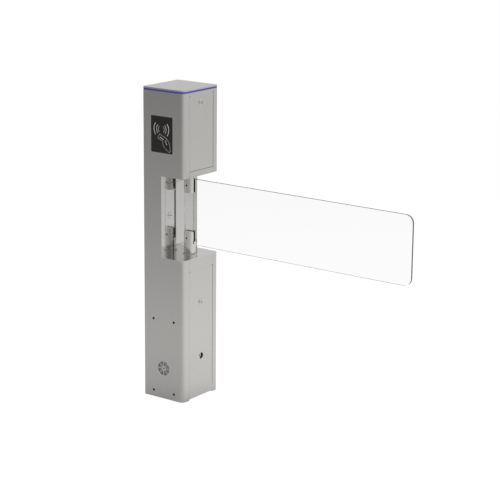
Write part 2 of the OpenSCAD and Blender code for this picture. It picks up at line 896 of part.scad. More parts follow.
module power_supply() {
  w = 96;
  h = supply_h;
  t = 36;
  foot = 2;
  color("lightsteelblue")
    translate([-inner_x, axis_y, supply_z]) {
      difference() {
        translate([foot, -w / 2, 0]) cube([t, w, h]);
        translate([foot + 8, -w / 2 + 1.5, h - 14]) cube([t, w - 3, 20]);
        for (i = [0:8], j = [0:2])
          translate([foot + t - 1.5, -w / 2 + 12 + i * 9, 20 + j * 32]) cube([over, 4, 22]);
      }
      for (z = [12, h - 24], y = [-1, 1]) translate([0, y * (w / 2 - 14) - 6, z]) cube([foot, 12, 12]);
      for (i = [0:6]) translate([foot + 10, -w / 2 + 8 + i * 11.6, h - 14]) cube([12, 9, 9]);
    }
}

module cable_duct() {
  w = 30;
  t = 22;
  z0 = supply_z + supply_h + 15;
  pitch = 24;
  slots = floor((shell_top - z0 - 60) / pitch);
  color("gainsboro")
    translate([-inner_x, axis_y - w / 2, z0])
      difference() {
        cube([t, w, slots * pitch + 12]);
        translate([1.5, 1.5, -over]) cube([t - 3, w - 3, slots * pitch + 12 + 2 * over]);
        for (i = [0:slots - 1]) translate([6, -over, 8 + i * pitch]) cube([t, w + 2 * over, 6]);
      }
}

module battery() {
  size = battery_size;
  color(black_colour)
    translate([battery_x, -size[1] / 2, base_t]) {
      cube([size[0], size[1], size[2] - 8]);
      translate([2, 2, 0]) cube([size[0] - 4, size[1] - 4, size[2] - 5]);
      for (y = [14, size[1] - 14]) translate([size[0] / 2 - 3, y - 4, 0]) cube([6, 8, size[2]]);
    }
}

module battery_bracket() {
  size = battery_size;
  strap_h = 25;
  gap = 0.3;
  y = size[1] / 2 + gap;
  x_end = battery_x + size[0] + gap;
  color(steel_colour)
    translate([0, 0, base_t + 60]) {
      for (s = [-1, 1]) {
        translate([-inner_x, s * (y + sheet / 2) - sheet / 2, 0]) cube([x_end + inner_x + sheet, sheet, strap_h]);
        translate([-inner_x, s > 0 ? y : -y - 14, 0]) cube([sheet, 14, strap_h]);
      }
      translate([x_end, -y, 0]) cube([sheet, 2 * y, strap_h]);
    }
}

// Glass wing and its clamps

module glass_outline() {
  back = clamp_r;
  difference() {
    translate([-back, 0]) square([back + glass_reach, glass_h]);
    corner_waste(glass_reach, 0, 1, -1, glass_corner_r);
    corner_waste(glass_reach, glass_h, 1, 1, glass_corner_r);
    translate([-back - over, -over]) square([back + clamp_r + 2 + over, clamp_floor + rubber_t + over]);
  }
}

module glass_panel() {
  color([0.85, 0.95, 0.92, 0.35])
    translate([axis_x, axis_y + glass_t / 2, glass_z])
      rotate([90, 0, 0]) linear_extrude(glass_t) glass_outline();
}

// The clamps' slots, and the rubber that lines them, are blocks along the wing
module grip_block(w, z0, z1) {
  translate([-clamp_d, -w / 2, z0]) cube([2 * clamp_d, w, z1 - z0]);
}

module clamp_screw_place(z) {
  translate([0, -grip_w / 2, z]) rotate([90, 0, 0]) children();
}

module lower_clamp() {
  color(steel_colour)
    translate([axis_x, axis_y, 0])
      difference() {
        translate([0, 0, glass_z]) cylinder(r = clamp_r, h = lower_clamp_h);
        grip_block(grip_w, grip_z, glass_z + lower_clamp_h + over);
        clamp_screw_place(lower_screw_z) translate([0, 0, -1]) cylinder(d = clamp_screw_d + 2 * fit, h = clamp_d);
      }
}

module upper_clamp() {
  color(steel_colour)
    translate([axis_x, axis_y, 0])
      difference() {
        translate([0, 0, upper_clamp_z]) cylinder(r = clamp_r, h = upper_clamp_top - upper_clamp_z);
        grip_block(grip_w, upper_clamp_z - over, glass_top + rubber_t);
        clamp_screw_place(upper_screw_z) translate([0, 0, -1]) cylinder(d = clamp_screw_d + 2 * fit, h = clamp_d);
      }
}

module clamp_rubbers() {
  color(black_colour)
    translate([axis_x, axis_y, 0]) {
      difference() {
        intersection() {
          grip_block(grip_w, grip_z, glass_z + lower_clamp_h);
          translate([0, 0, glass_z]) cylinder(r = rubber_r, h = lower_clamp_h);
        }
        grip_block(glass_t, grip_z + rubber_t, glass_top);
      }
      difference() {
        intersection() {
          grip_block(grip_w, upper_clamp_z, glass_top + rubber_t);
          translate([0, 0, upper_clamp_z]) cylinder(r = rubber_r, h = upper_clamp_h + rubber_t);
        }
        grip_block(glass_t, glass_z, glass_top);
      }
    }
}

module clamp_screws() {
  sunk = 2.5;
  key_w = 3.5;
  l = clamp_r - grip_w / 2 - sunk;
  color(dark_colour)
    translate([axis_x, axis_y, 0])
      for (z = [lower_screw_z, upper_screw_z])
        clamp_screw_place(z)
          difference() {
            cylinder(d = clamp_screw_d, h = l);
            translate([0, 0, l - key_w]) cylinder(d = key_w, h = over, $fn = 6);
          }
}

// Swing shaft and its bearings

module swing_shaft() {
  neck = bearing_top + 1.5;
  low = coupling_z + 2 * hub_l + spider_l;
  color("lightgray")
    translate([axis_x, axis_y, 0]) {
      translate([0, 0, neck]) cylinder(r = clamp_r, h = glass_z - neck);
      translate([0, 0, low]) cylinder(d = shaft_d, h = neck - low);
      translate([0, 0, low - hub_l + 1]) cylinder(d = 12, h = hub_l);
    }
}

// Places children at height z on the axes of the drive's four pillars
module pillar_places(z) {
  for (x = [-1, 1], y = [-1, 1])
    translate([axis_x + x * pillar_spread / 2, axis_y + y * pillar_spread / 2, z]) children();
}

// Collar around the shaft, with a recess for a lip seal in its top
module bearing_cover() {
  bore_r = clamp_r + 0.4;
  seal_r = clamp_r + 1.6;
  rim_r = clamp_r + 3;
  bevel = 0.7;
  seal_z = collar_h - 1;
  color(steel_colour)
    translate([axis_x, axis_y, notch_bottom])
      rotate_extrude()
        polygon([[bore_r, 0], [rim_r, 0], [rim_r, collar_h - bevel], [rim_r - bevel, collar_h],
                 [seal_r, collar_h], [seal_r, seal_z], [bore_r, seal_z]]);
}

// Studs under the deck that the bearing housing and the pillars hang on
module cover_plate_screws() {
  color("gainsboro")
    pillar_places(bearing_top - stud_in) cylinder(d = stud_d, h = stud_in + flange_t);
}

module lower_bearing_housing() {
  color("darkgray")
    difference() {
      translate([axis_x, axis_y, 0]) {
        translate([0, 0, bearing_top])
          linear_extrude(flange_t) rounded_rect(housing_flange, housing_flange, 6);
        translate([0, 0, bearing_low]) cylinder(d = housing_d, h = bearing_top - bearing_low + 1);
      }
      translate([axis_x, axis_y, 0]) {
        translate([0, 0, bearing_top - over]) cylinder(d = clamp_d + 1.4, h = 3 * over);
        translate([0, 0, bearing_top - bearing_w]) cylinder(d = bearing_d + 2 * fit, h = bearing_w + 1);
        translate([0, 0, bearing_low - over]) cylinder(d = bearing_d + 2 * fit, h = bearing_w + over);
        translate([0, 0, bearing_low - over]) cylinder(d = bearing_d - 6, h = bearing_top - bearing_low);
      }
      pillar_places(bearing_top - over) cylinder(d = stud_d + 2 * fit, h = flange_t + 2 * over);
    }
}

module ring_bearing(od, id, w) {
  rotate_extrude()
    polygon([[id / 2, 0], [id / 2 + 3, 0], [id / 2 + 3.4, 0.5], [od / 2 - 3.4, 0.5], [od / 2 - 3, 0], [od / 2, 0],
             [od / 2, w], [od / 2 - 3, w], [od / 2 - 3.4, w - 0.5], [id / 2 + 3.4, w - 0.5], [id / 2 + 3, w],
             [id / 2, w]]);
}

module lower_bearings() {
  color("gainsboro")
    for (z = [bearing_low, bearing_top - bearing_w])
      translate([axis_x, axis_y, z]) ring_bearing(bearing_d, shaft_d + 2 * fit, bearing_w);
}

module upper_pivot() {
  color("lightgray")
    translate([axis_x, axis_y, upper_clamp_top]) {
      cylinder(r = clamp_r - 2, h = 3);
      cylinder(d = pin_d, h = pivot_bearing_z + 12 - upper_clamp_top);
    }
}

module upper_bearing_housing() {
  color("darkgray")
    translate([axis_x, axis_y, pivot_housing_z])
      difference() {
        union() {
          linear_extrude(flange_t) rounded_rect(58, 58, 6);
          cylinder(d = pin_bearing_d + 12, h = 20);
        }
        translate([0, 0, -over]) cylinder(d = pin_d + 4, h = 30 + over);
        translate([0, 0, pivot_bearing_up]) cylinder(d = pin_bearing_d + 2 * fit, h = 20);
      }
}

module upper_bearing() {
  color("gainsboro")
    translate([axis_x, axis_y, pivot_bearing_z]) ring_bearing(pin_bearing_d, pin_d + 2 * fit, pin_bearing_w);
}

// Encoder gears with involute flanks

// Point of the involute of a circle of radius rb, unrolled by t degrees
function involute(rb, t) = let (u = t * PI / 180) [rb * (cos(t) + u * sin(t)), rb * (sin(t) - u * cos(t))];

// Unrolling angle, in degrees, at which the involute of rb reaches radius r
function unroll(rb, r) = r <= rb ? 0 : sqrt(r * r / (rb * rb) - 1) * 180 / PI;

function turned(p, a) = [p[0] * cos(a) - p[1] * sin(a), p[0] * sin(a) + p[1] * cos(a)];

// Outline of one tooth about the +X axis, from its left root to its right root
function tooth(m, n, backlash) =
  let (
    rp = m * n / 2,
    rb = rp * cos(20),
    ra = rp + m,
    rr = rp - 1.25 * m,
    tp = unroll(rb, rp),
    half = 90 / n - backlash / rp * 90 / PI + tp - 20,
    steps = 5,
    flank = [for (i = [0:steps]) turned(involute(rb, i / steps * unroll(rb, ra)), -half)],
    root = [rr * cos(half + 0.6), -rr * sin(half + 0.6)]
  )
  concat([root], flank, [for (i = [steps:-1:0]) [flank[i][0], -flank[i][1]]], [[root[0], -root[1]]]);

module spur_gear_2d(m, n, backlash) {
  one = tooth(m, n, backlash);
  polygon([for (k = [0:n - 1]) for (p = one) turned(p, k * 360 / n)]);
}

module drive_gear() {
  color("burlywood")
    translate([axis_x, axis_y, gear_z]) {
      difference() {
        linear_extrude(gear_t) spur_gear_2d(gear_module, gear_teeth, 0.12);
        translate([0, 0, -over]) cylinder(d = shaft_d + 2 * fit, h = gear_t + 2 * over);
        for (a = [0:60:300]) rotate(a) translate([gear_module * gear_teeth / 2 - 6.5, 0, -over]) cylinder(d = 5, h = 20);
      }
    }
}

module encoder_pinion() {
  mesh_turn = 180 + (pinion_teeth % 2 == 0 ? 180 / pinion_teeth : 0);
  color("whitesmoke")
    translate([encoder_x, axis_y, gear_z - 1]) {
      translate([0, 0, 0.5]) rotate(mesh_turn)
        linear_extrude(gear_t + 1) spur_gear_2d(gear_module, pinion_teeth, 0.12);
      translate([0, 0, -9]) cylinder(d = 6, h = 10);
    }
}

module encoder() {
  body_top = gear_z - 4;
  body_l = body_top - drive_plate_z - drive_plate_t;
  color(black_colour)
    translate([encoder_x, axis_y, drive_plate_z + drive_plate_t])
      difference() {
        union() {
          cylinder(d = 24, h = body_l - 3);
          linear_extrude(3) square([26, 26], center = true);
          cylinder(d = 10, h = body_l);
          translate([-15, -5, 12]) cube([8, 10, 12]);
        }
        translate([0, 0, body_l - 8]) cylinder(d = 6 + 2 * fit, h = 9);
      }
}

// Motor drive under the shaft

module coupling_hub() {
  color("silver")
    translate([axis_x, axis_y, coupling_z + hub_l + spider_l])
      difference() {
        cylinder(d = coupling_d, h = hub_l - 0.2);
        translate([0, 0, -over]) cylinder(d = 12 + 2 * fit, h = hub_l + 2 * over);
      }
}

module coupling_spider() {
  color("firebrick")
    translate([axis_x, axis_y, coupling_z + hub_l])
      difference() {
        cylinder(d = coupling_d - 2, h = spider_l);
        translate([0, 0, -over]) cylinder(d = 14, h = spider_l + 2 * over);
        for (a = [0:60:300]) rotate(a) translate([coupling_d / 2, 0, -over]) cylinder(d = 7, h = 3 * over);
      }
}

module gearbox_hub() {
  color("silver")
    translate([axis_x, axis_y, 0]) {
      translate([0, 0, coupling_z])
        difference() {
          cylinder(d = coupling_d, h = hub_l);
          translate([0, 0, -over]) cylinder(d = motor_shaft_d + 2 * fit, h = hub_l + 2 * over);
        }
      translate([0, 0, drive_plate_z + 1]) cylinder(d = motor_shaft_d, h = coupling_z + hub_l - drive_plate_z - 2);
    }
}

module drive_plate() {
  plate_w = pillar_spread + 26;
  color("lightsteelblue")
    difference() {
      translate([axis_x - plate_w / 2 - 14, axis_y - pillar_spread / 2 - 7, drive_plate_z])
        cube([plate_w + 8, pillar_spread + 14, drive_plate_t]);
      translate([axis_x, axis_y, drive_plate_z - over]) cylinder(d = motor_shaft_d + 8, h = 3 * over);
    }
}

module drive_pillars() {
  z0 = drive_plate_z + drive_plate_t;
  color("gainsboro")
    difference() {
      pillar_places(z0) cylinder(d = pillar_d, h = bearing_top - z0);
      pillar_places(bearing_top - stud_in - 1) cylinder(d = stud_d + 2 * fit, h = stud_in + 1 + over);
    }
}

module gearbox() {
  color("darkgray")
    translate([axis_x, axis_y, drive_plate_z - gearbox_l])
      difference() {
        union() {
          cylinder(d = motor_d, h = gearbox_l);
          translate([0, 0, gearbox_l - 8]) linear_extrude(8) rounded_rect(motor_d + 2, motor_d + 2, 5);
        }
        for (z = [10, 22, 34])
          translate([0, 0, z])
            rotate_extrude() translate([motor_d / 2 - 0.8, 0]) square([2, 1.2]);
        translate([0, 0, gearbox_l - 6]) cylinder(d = motor_shaft_d + 4, h = 8);
      }
}

module motor() {
  color(dark_colour)
    translate([axis_x, axis_y, drive_plate_z - gearbox_l - motor_l]) {
      difference() {
        cylinder(d = motor_d - 2, h = motor_l);
        for (z = [8, motor_l - 10])
          translate([0, 0, z]) rotate_extrude() translate([motor_d / 2 - 1.8, 0]) square([3, 1.5]);
      }
      translate([-motor_d / 2 - 7, -7, 14]) cube([10, 14, 18]);
    }
}

module brake() {
  color(black_colour)
    translate([axis_x, axis_y, drive_plate_z - gearbox_l - motor_l - brake_l]) {
      difference() {
        cylinder(d = motor_d, h = brake_l);
        translate([0, 0, brake_l - 9]) rotate_extrude() translate([motor_d / 2 - 2, 0]) square([4, 2]);
      }
      translate([0, 0, -5]) cylinder(d = 12, h = 6);
    }
}

base_plate();
housing_shell();
deck_plate();
notch_wall();
ceiling_plate();
top_frame();
light_strip();
led_board();
lid();
lid_nuts();
door_rods();
crossbars();
lower_door();
at_lower_lock() lock_body();  // lower_lock
at_lower_lock() lock_plug();  // lower_lock_plug
at_lower_lock() lock_cam();  // lower_lock_cam
key_switch();
key_switch_plug();
upper_door();
at_upper_lock() lock_body();  // upper_lock
at_upper_lock() lock_plug();  // upper_lock_plug
at_upper_lock() lock_cam();  // upper_lock_cam
notch_cover();
at_cover_lock() lock_body();  // cover_lock
at_cover_lock() lock_plug();  // cover_lock_plug
at_cover_lock() lock_cam();  // cover_lock_cam
reader_window();
reader_module();
speaker();
chassis_screws();
chassis_plate();
controller_board();
power_supply();
cable_duct();
battery();
battery_bracket();
glass_panel();
lower_clamp();
upper_clamp();
clamp_rubbers();
clamp_screws();
swing_shaft();
bearing_cover();
cover_plate_screws();
lower_bearing_housing();
lower_bearings();
upper_pivot();
upper_bearing_housing();
upper_bearing();
drive_gear();
encoder_pinion();
encoder();
coupling_hub();
coupling_spider();
gearbox_hub();
drive_plate();
drive_pillars();
gearbox();
motor();
brake();
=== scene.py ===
# %% [markdown]
# # A glass swing barrier in Blender
# The barrier is a stainless steel column with a glass wing that a motor swings open. Its solids come from
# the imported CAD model, which is already in metres and in its final place, so no CAD piece is moved here.
# This script gives every surface its finish, adds the small pieces that the CAD model leaves out, and sets
# up a plain studio.

# %% Load the frame
import math

import bmesh
import bpy
from mathutils import Matrix, Vector


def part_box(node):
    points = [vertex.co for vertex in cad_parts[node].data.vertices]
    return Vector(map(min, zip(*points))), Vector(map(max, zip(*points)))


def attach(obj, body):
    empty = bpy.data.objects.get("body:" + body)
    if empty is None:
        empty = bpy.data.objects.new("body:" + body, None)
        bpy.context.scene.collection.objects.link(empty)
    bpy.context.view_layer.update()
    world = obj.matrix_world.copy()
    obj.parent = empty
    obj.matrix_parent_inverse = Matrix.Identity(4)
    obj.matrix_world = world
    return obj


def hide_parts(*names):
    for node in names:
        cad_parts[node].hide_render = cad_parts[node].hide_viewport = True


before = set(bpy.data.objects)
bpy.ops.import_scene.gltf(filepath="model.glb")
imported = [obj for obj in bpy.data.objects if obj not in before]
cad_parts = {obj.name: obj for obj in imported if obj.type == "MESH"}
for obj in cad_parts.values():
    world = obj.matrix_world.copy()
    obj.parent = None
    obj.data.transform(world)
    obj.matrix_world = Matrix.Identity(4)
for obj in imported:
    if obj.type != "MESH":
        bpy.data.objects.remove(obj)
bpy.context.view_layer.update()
scene = bpy.context.scene

# %% [markdown]
# ## The camera
# The photograph was taken from the reader's side, 36 degrees round towards the wing and 14.5 degrees above
# the middle of the column, with a long lens. A camera could be turned by three Euler angles. Here it is
# placed by its three axes, right, up and back, because they follow from two angles and a slight roll that
# each mean something. The shot is framed by moving the camera to the right and down, not by a lens shift,
# so that the perspective stays the photograph's own.

# %% Camera
AZIMUTH = math.radians(36.242)
ELEVATION = math.radians(14.480)
ROLL = math.radians(0.543)
DISTANCE = 5.3921
MOVED_RIGHT = 0.22019
MOVED_DOWN = 0.02582
LENS_MM = 122.57
SENSOR_MM = 36
FARTHEST_SIGHT = 60
TARGET = Vector((0, 0, 0.5))

back = Vector((
    math.sin(AZIMUTH) * math.cos(ELEVATION),
    -math.cos(AZIMUTH) * math.cos(ELEVATION),
    math.sin(ELEVATION),
))
level_right = Vector((math.cos(AZIMUTH), math.sin(AZIMUTH), 0))
level_up = back.cross(level_right)
right = math.cos(ROLL) * level_right + math.sin(ROLL) * level_up
up = -math.sin(ROLL) * level_right + math.cos(ROLL) * level_up

camera_data = bpy.data.cameras.new("camera")
camera_data.sensor_width = SENSOR_MM
camera_data.lens = LENS_MM
camera_data.clip_end = FARTHEST_SIGHT
camera = bpy.data.objects.new("camera", camera_data)
place = Matrix((right, up, back)).transposed().to_4x4()
place.translation = TARGET + DISTANCE * back + MOVED_RIGHT * right - MOVED_DOWN * up
camera.matrix_world = place
scene.collection.objects.link(camera)
scene.camera = camera
scene.view_settings.view_transform = "Standard"
print("camera at", tuple(round(c, 3) for c in place.translation))

# %% [markdown]
# ## Helpers for colours and nodes
# A colour picked on a screen is an sRGB value, and Blender's sockets take linear light, so one function
# turns a hex code into linear light. A second one adds a node with its settings and its links, which keeps
# each material short enough to read as a recipe.


# %% Colour and node helpers
def colour(hex_code):
    """Linear RGBA of an sRGB hex code."""
    channels = [int(hex_code[i:i + 2], 16) / 255 for i in (1, 3, 5)]
    linear = [c / 12.92 if c <= 0.04045 else ((c + 0.055) / 1.055) ** 2.4 for c in channels]
    return (*linear, 1.0)


def node(tree, kind, settings=None, sockets=None):
    """Adds a node. Each socket, by name or number, gets a value or a link from another node's output."""
    made = tree.nodes.new(kind)
    for name, value in (settings or {}).items():
        setattr(made, name, value)
    for key, value in (sockets or {}).items():
        if isinstance(value, bpy.types.NodeSocket):
            tree.links.new(value, made.inputs[key])
        else:
            made.inputs[key].default_value = value
    return made


def new_material(name):
    """An empty node material, and its tree."""
    made = bpy.data.materials.new(name)
    made.use_nodes = True
    made.node_tree.nodes.clear()
    return made, made.node_tree


print("mid grey on screen is", round(colour("#808080")[0], 3), "in linear light")

# %% [markdown]
# ## The studio
# A product photo's background is pure white, which is not how bright the floor is in the room: the picture
# was lit and cut out that way. The steel, though, mirrors the room. Light Path tells a shader what kind of
# ray is asking, so rays from the camera and through the glass get white, and mirror-like rays get the room,
# also where they go on through the glass. A picture of a studio could be wrapped round the scene instead,
# but a few functions of place say as much, hold from any camera and can be tuned one by one.


# %% Kinds of ray
def ray_kinds(tree):
    """Two factors: 1 for a ray that shows the photo's backdrop, and 1 for one that mirrors the room."""
    rays = node(tree, "ShaderNodeLightPath")
    # The depth counts the mirrorings so far, so a value under a half means none.
    unmirrored = node(tree, "ShaderNodeMath", {"operation": "LESS_THAN"},
                      {0: rays.outputs["Glossy Depth"], 1: 0.5})
    through = node(tree, "ShaderNodeMath", {"operation": "MULTIPLY"},
                   {0: rays.outputs["Is Transmission Ray"], 1: unmirrored.outputs[0]})
    seen = node(tree, "ShaderNodeMath", {"operation": "MAXIMUM"},
                {0: rays.outputs["Is Camera Ray"], 1: through.outputs[0]})
    mirrored = node(tree, "ShaderNodeMath", {"operation": "MAXIMUM"},
                    {0: rays.outputs["Is Glossy Ray"], 1: rays.outputs["Is Transmission Ray"]})
    return seen.outputs[0], mirrored.outputs[0]


# %% [markdown]
# ### The two sides of the room
# The far side of the room is brighter than the reader's side. One function weighs a direction's x and y,
# mostly its y, into a share that rises softly from 0 on the reader's side to 1 on the far side. It is a
# function because the room and the floor both need it.

# %% Reader's side and far side
AXIS_SHARES = (0.30, 0.95)
BACK_STEP = (-1.0, 0.4)


def towards_back(tree, direction):
    """0 on the reader's side of the room, 1 on the far side, for a unit direction."""
    axes = node(tree, "ShaderNodeSeparateXYZ", {}, {"Vector": direction})
    x_part = node(tree, "ShaderNodeMath", {"operation": "MULTIPLY"},
                  {0: axes.outputs["X"], 1: AXIS_SHARES[0]})
    y_part = node(tree, "ShaderNodeMath", {"operation": "MULTIPLY_ADD"},
                  {0: axes.outputs["Y"], 1: AXIS_SHARES[1], 2: x_part.outputs[0]})
    share = node(tree, "ShaderNodeMapRange", {"interpolation_type": "SMOOTHSTEP"},
                 {"Value": y_part.outputs[0], "From Min": BACK_STEP[0], "From Max": BACK_STEP[1]})
    return share.outputs[0]


# %% [markdown]
# ### The room round the column
# The ceiling is the brightest part of the room. Dull surfaces get an even light instead, so that the mirrored
# room can be tuned without them, and the camera gets pure white. A world shader reads the direction of each
# ray from Generated coordinates.

# %% World
ROOM_FRONT = 0.15
ROOM_BACK = 0.62
ROOM_TOP = 0.72
TOP_STEP = (0.1, 0.9)
ROOM_FOR_DULL = 0.75

world = bpy.data.worlds.new("studio")
scene.world = world
world.use_nodes = True
tree = world.node_tree
tree.nodes.clear()
direction = node(tree, "ShaderNodeTexCoord").outputs["Generated"]
side = node(tree, "ShaderNodeMix", {"data_type": "FLOAT"},
            {0: towards_back(tree, direction), 2: ROOM_FRONT, 3: ROOM_BACK})
axes = node(tree, "ShaderNodeSeparateXYZ", {}, {"Vector": direction})
height = node(tree, "ShaderNodeMapRange", {"interpolation_type": "SMOOTHSTEP"},
              {"Value": axes.outputs["Z"], "From Min": TOP_STEP[0], "From Max": TOP_STEP[1]})
room = node(tree, "ShaderNodeMix", {"data_type": "FLOAT"},
            {0: height.outputs[0], 2: side.outputs[0], 3: ROOM_TOP})
seen, mirrored = ray_kinds(tree)
unseen = node(tree, "ShaderNodeMix", {"data_type": "FLOAT"},
              {0: mirrored, 2: ROOM_FOR_DULL, 3: room.outputs[0]})
strength = node(tree, "ShaderNodeMix", {"data_type": "FLOAT"}, {0: seen, 2: unseen.outputs[0], 3: 1.0})
background = node(tree, "ShaderNodeBackground", {}, {"Color": (1, 1, 1, 1), "Strength": strength.outputs[0]})
node(tree, "ShaderNodeOutputWorld", {}, {"Surface": background.outputs[0]})
print("room brightness", ROOM_FRONT, "in front,", ROOM_BACK, "behind,", ROOM_TOP, "above")

# %% [markdown]
# ### The floor
# The floor is one plain sheet, large enough to pass for endless. A single square is enough, because its paint
# is worked out for each ray and not for each corner. It belongs to the stage, not to the object.

# %% Floor
FLOOR_SIZE = 24.0

bm = bmesh.new()
bmesh.ops.create_grid(bm, x_segments=1, y_segments=1, size=FLOOR_SIZE / 2)
floor_mesh = bpy.data.meshes.new("floor")
bm.to_mesh(floor_mesh)
bm.free()
floor = bpy.data.objects.new("floor", floor_mesh)
scene.collection.objects.link(floor)
print("floor", FLOOR_SIZE, "m across")

# %% [markdown]
# ### The floor's paint
# What the steel mirrors in the floor is a painted pool of light round the object that fades with distance,
# with a painted shadow that makes it darker again right at the object's foot. Lamps could make such a pool,
# but they would light the object too, so it is painted: one colour ramp for the reader's side and one for the
# far side, each a row of distances, as shares of the pool's reach, with a brightness. For the camera the
# floor is nearly white, and a little dim paint on top takes the object's soft shadow. Rays that scatter off
# dull surfaces meet an ordinary pale paint.

# %% Floor paint
FLOOR_WHITE = (0.93, 0.93, 0.93, 1)
SHADOW_PAINT = (0.10, 0.10, 0.10, 1)
POOL_REACH = 6.0
# Both ramps are painted light, and their first stops are low: a painted shadow at the object's foot.
POOL_FRONT = ((0.0, 0.25), (0.05, 0.35), (0.12, 0.39), (0.3, 0.31), (0.6, 0.22), (1.0, 0.16))
POOL_BACK = ((0.0, 0.43), (0.04, 0.60), (0.12, 0.64), (0.3, 0.59), (0.6, 0.53), (1.0, 0.50))

floor_paint, tree = new_material("white studio floor")
point = node(tree, "ShaderNodeTexCoord").outputs["Object"]
distance = node(tree, "ShaderNodeVectorMath", {"operation": "LENGTH"}, {0: point})
direction = node(tree, "ShaderNodeVectorMath", {"operation": "NORMALIZE"}, {0: point})
reach = node(tree, "ShaderNodeMapRange", {}, {"Value": distance.outputs["Value"], "From Max": POOL_REACH})
pools = []
for levels in (POOL_FRONT, POOL_BACK):
    ramp = node(tree, "ShaderNodeValToRGB", {}, {"Fac": reach.outputs[0]})
    ramp.color_ramp.interpolation = "EASE"
    stops = ramp.color_ramp.elements
    for share, level in levels[1:-1]:
        stops.new(share)
    for stop, (share, level) in zip(stops, levels):
        stop.position = share
        stop.color = (level, level, level, 1)
    pools.append(ramp.outputs["Color"])
pool = node(tree, "ShaderNodeMix", {"data_type": "RGBA"},
            {0: towards_back(tree, direction.outputs[0]), 6: pools[0], 7: pools[1]})
seen, mirrored = ray_kinds(tree)
glow = node(tree, "ShaderNodeMix", {"data_type": "RGBA"},
            {0: seen, 6: pool.outputs["Result"], 7: FLOOR_WHITE})
direct = node(tree, "ShaderNodeMath", {"operation": "MAXIMUM"}, {0: seen, 1: mirrored})
shine = node(tree, "ShaderNodeEmission", {}, {"Color": glow.outputs["Result"]})
shadow_paint = node(tree, "ShaderNodeBsdfDiffuse", {}, {"Color": SHADOW_PAINT})
pale_paint = node(tree, "ShaderNodeBsdfDiffuse", {}, {"Color": colour("#d8d8d8")})
lit = node(tree, "ShaderNodeAddShader", {}, {0: shine.outputs[0], 1: shadow_paint.outputs[0]})
surface = node(tree, "ShaderNodeMixShader", {},
               {0: direct.outputs[0], 1: pale_paint.outputs[0], 2: lit.outputs[0]})
node(tree, "ShaderNodeOutputMaterial", {}, {"Surface": surface.outputs[0]})
floor_mesh.materials.append(floor_paint)
print("the pool of light reaches", POOL_REACH, "m")

# %% [markdown]
# ## Lamps
# Two large, soft area lamps stand above the wing and to its side. Mirror-like rays and rays through the
# glass don't see them: the steel reflects the room's smooth gradient, and the lamps only light what
# scatters light, such as plastic, rubber and paint. Without the second switch, the mirrored deck would show a
# lamp through the pane.


# %% Lamps
def softbox(name, at, size, power):
    """A square area lamp that faces the middle of the column."""
    data = bpy.data.lights.new(name, "AREA")
    data.shape = "SQUARE"
    data.size = size
    data.energy = power
    lamp = bpy.data.objects.new(name, data)
    lamp.location = at
    lamp.rotation_euler = (Vector(at) - TARGET).to_track_quat("Z", "Y").to_euler()
    lamp.visible_glossy = False
    lamp.visible_transmission = False
    scene.collection.objects.link(lamp)
    print(name, power, "W at", at)


softbox("overhead softbox", at=(0.6, 0.4, 3.4), size=2.4, power=55)
softbox("side softbox", at=(3.0, -1.6, 2.2), size=1.8, power=45)

# %% [markdown]
# ## A recipe for metals
# Stainless sheet is polished with an abrasive belt, which leaves fine lines. An anisotropic shader could
# stretch the highlights along them, but they hardly show from here, so an ordinary metal is made a little
# rougher or smoother instead. Real belt lines are about 0.1 mm apart, too fine to show, so they are drawn as
# streaks of 1 mm or more along the belt's way that change tone, roughness and height a little. Faint larger
# smudges come from handling.

# %% Metal recipe
HANDLING = 0.06
LINE_TONE = 0.02
LINE_ROUGHNESS = 0.04
LINE_SLOPE = 0.06
LINE_HEIGHT = 0.0002


def metal(name, hex_code, roughness, streak_mm, streak_depth, along=(1, 1, 0.02)):
    """Brushed or polished metal, with belt lines along the axis whose factor in along is small."""
    made, tree = new_material(name)
    point = node(tree, "ShaderNodeTexCoord").outputs["Object"]
    mapping = node(tree, "ShaderNodeMapping", {}, {"Vector": point, "Scale": along})
    lines = node(tree, "ShaderNodeTexNoise", {},
                 {"Vector": mapping.outputs[0], "Scale": 1000 / streak_mm, "Detail": 3.0, "Roughness": 0.6})
    smudge = node(tree, "ShaderNodeTexNoise", {}, {"Vector": point, "Scale": 9.0, "Detail": 2.0})
    worn = node(tree, "ShaderNodeMapRange", {},
                {"Value": smudge.outputs[0], "From Min": 0.3, "From Max": 0.7,
                 "To Min": roughness * (1 - HANDLING), "To Max": roughness * (1 + HANDLING)})
    spread = node(tree, "ShaderNodeMapRange", {},
                  {"Value": lines.outputs[0], "From Min": 0.25, "From Max": 0.75,
                   "To Min": -LINE_ROUGHNESS * streak_depth, "To Max": LINE_ROUGHNESS * streak_depth})
    rough = node(tree, "ShaderNodeMath", {"operation": "ADD"}, {0: worn.outputs[0], 1: spread.outputs[0]})
    bump = node(tree, "ShaderNodeBump", {},
                {"Height": lines.outputs[0], "Strength": LINE_SLOPE * streak_depth, "Distance": LINE_HEIGHT})
    tone = node(tree, "ShaderNodeMapRange", {},
                {"Value": lines.outputs[0], "From Min": 0.2, "From Max": 0.8,
                 "To Min": 1 - LINE_TONE * streak_depth, "To Max": 1 + LINE_TONE * streak_depth})
    tint = node(tree, "ShaderNodeMix", {"data_type": "RGBA", "blend_type": "MULTIPLY"},
                {0: 1.0, 6: colour(hex_code), 7: tone.outputs[0]})
    polished = node(tree, "ShaderNodeBsdfPrincipled", {},
                    {"Base Color": tint.outputs["Result"], "Metallic": 1.0, "Roughness": rough.outputs[0],
                     "Normal": bump.outputs[0]})
    node(tree, "ShaderNodeOutputMaterial", {}, {"Surface": polished.outputs[0]})
    print("metal:", name)
    return made


# %% [markdown]
# ### The metals of this barrier
# A satin belt scatters light widely, so the column and its lid show soft gradients instead of images, while
# the deck, the notch's wall and the clamps are buffed until they mirror. The other metals sit inside or are
# small: chrome on the locks, zinc on brackets and nuts, ground steel on the drive and plain aluminium. The
# numbers are a colour, a roughness, the streaks' width in millimetres and their depth.

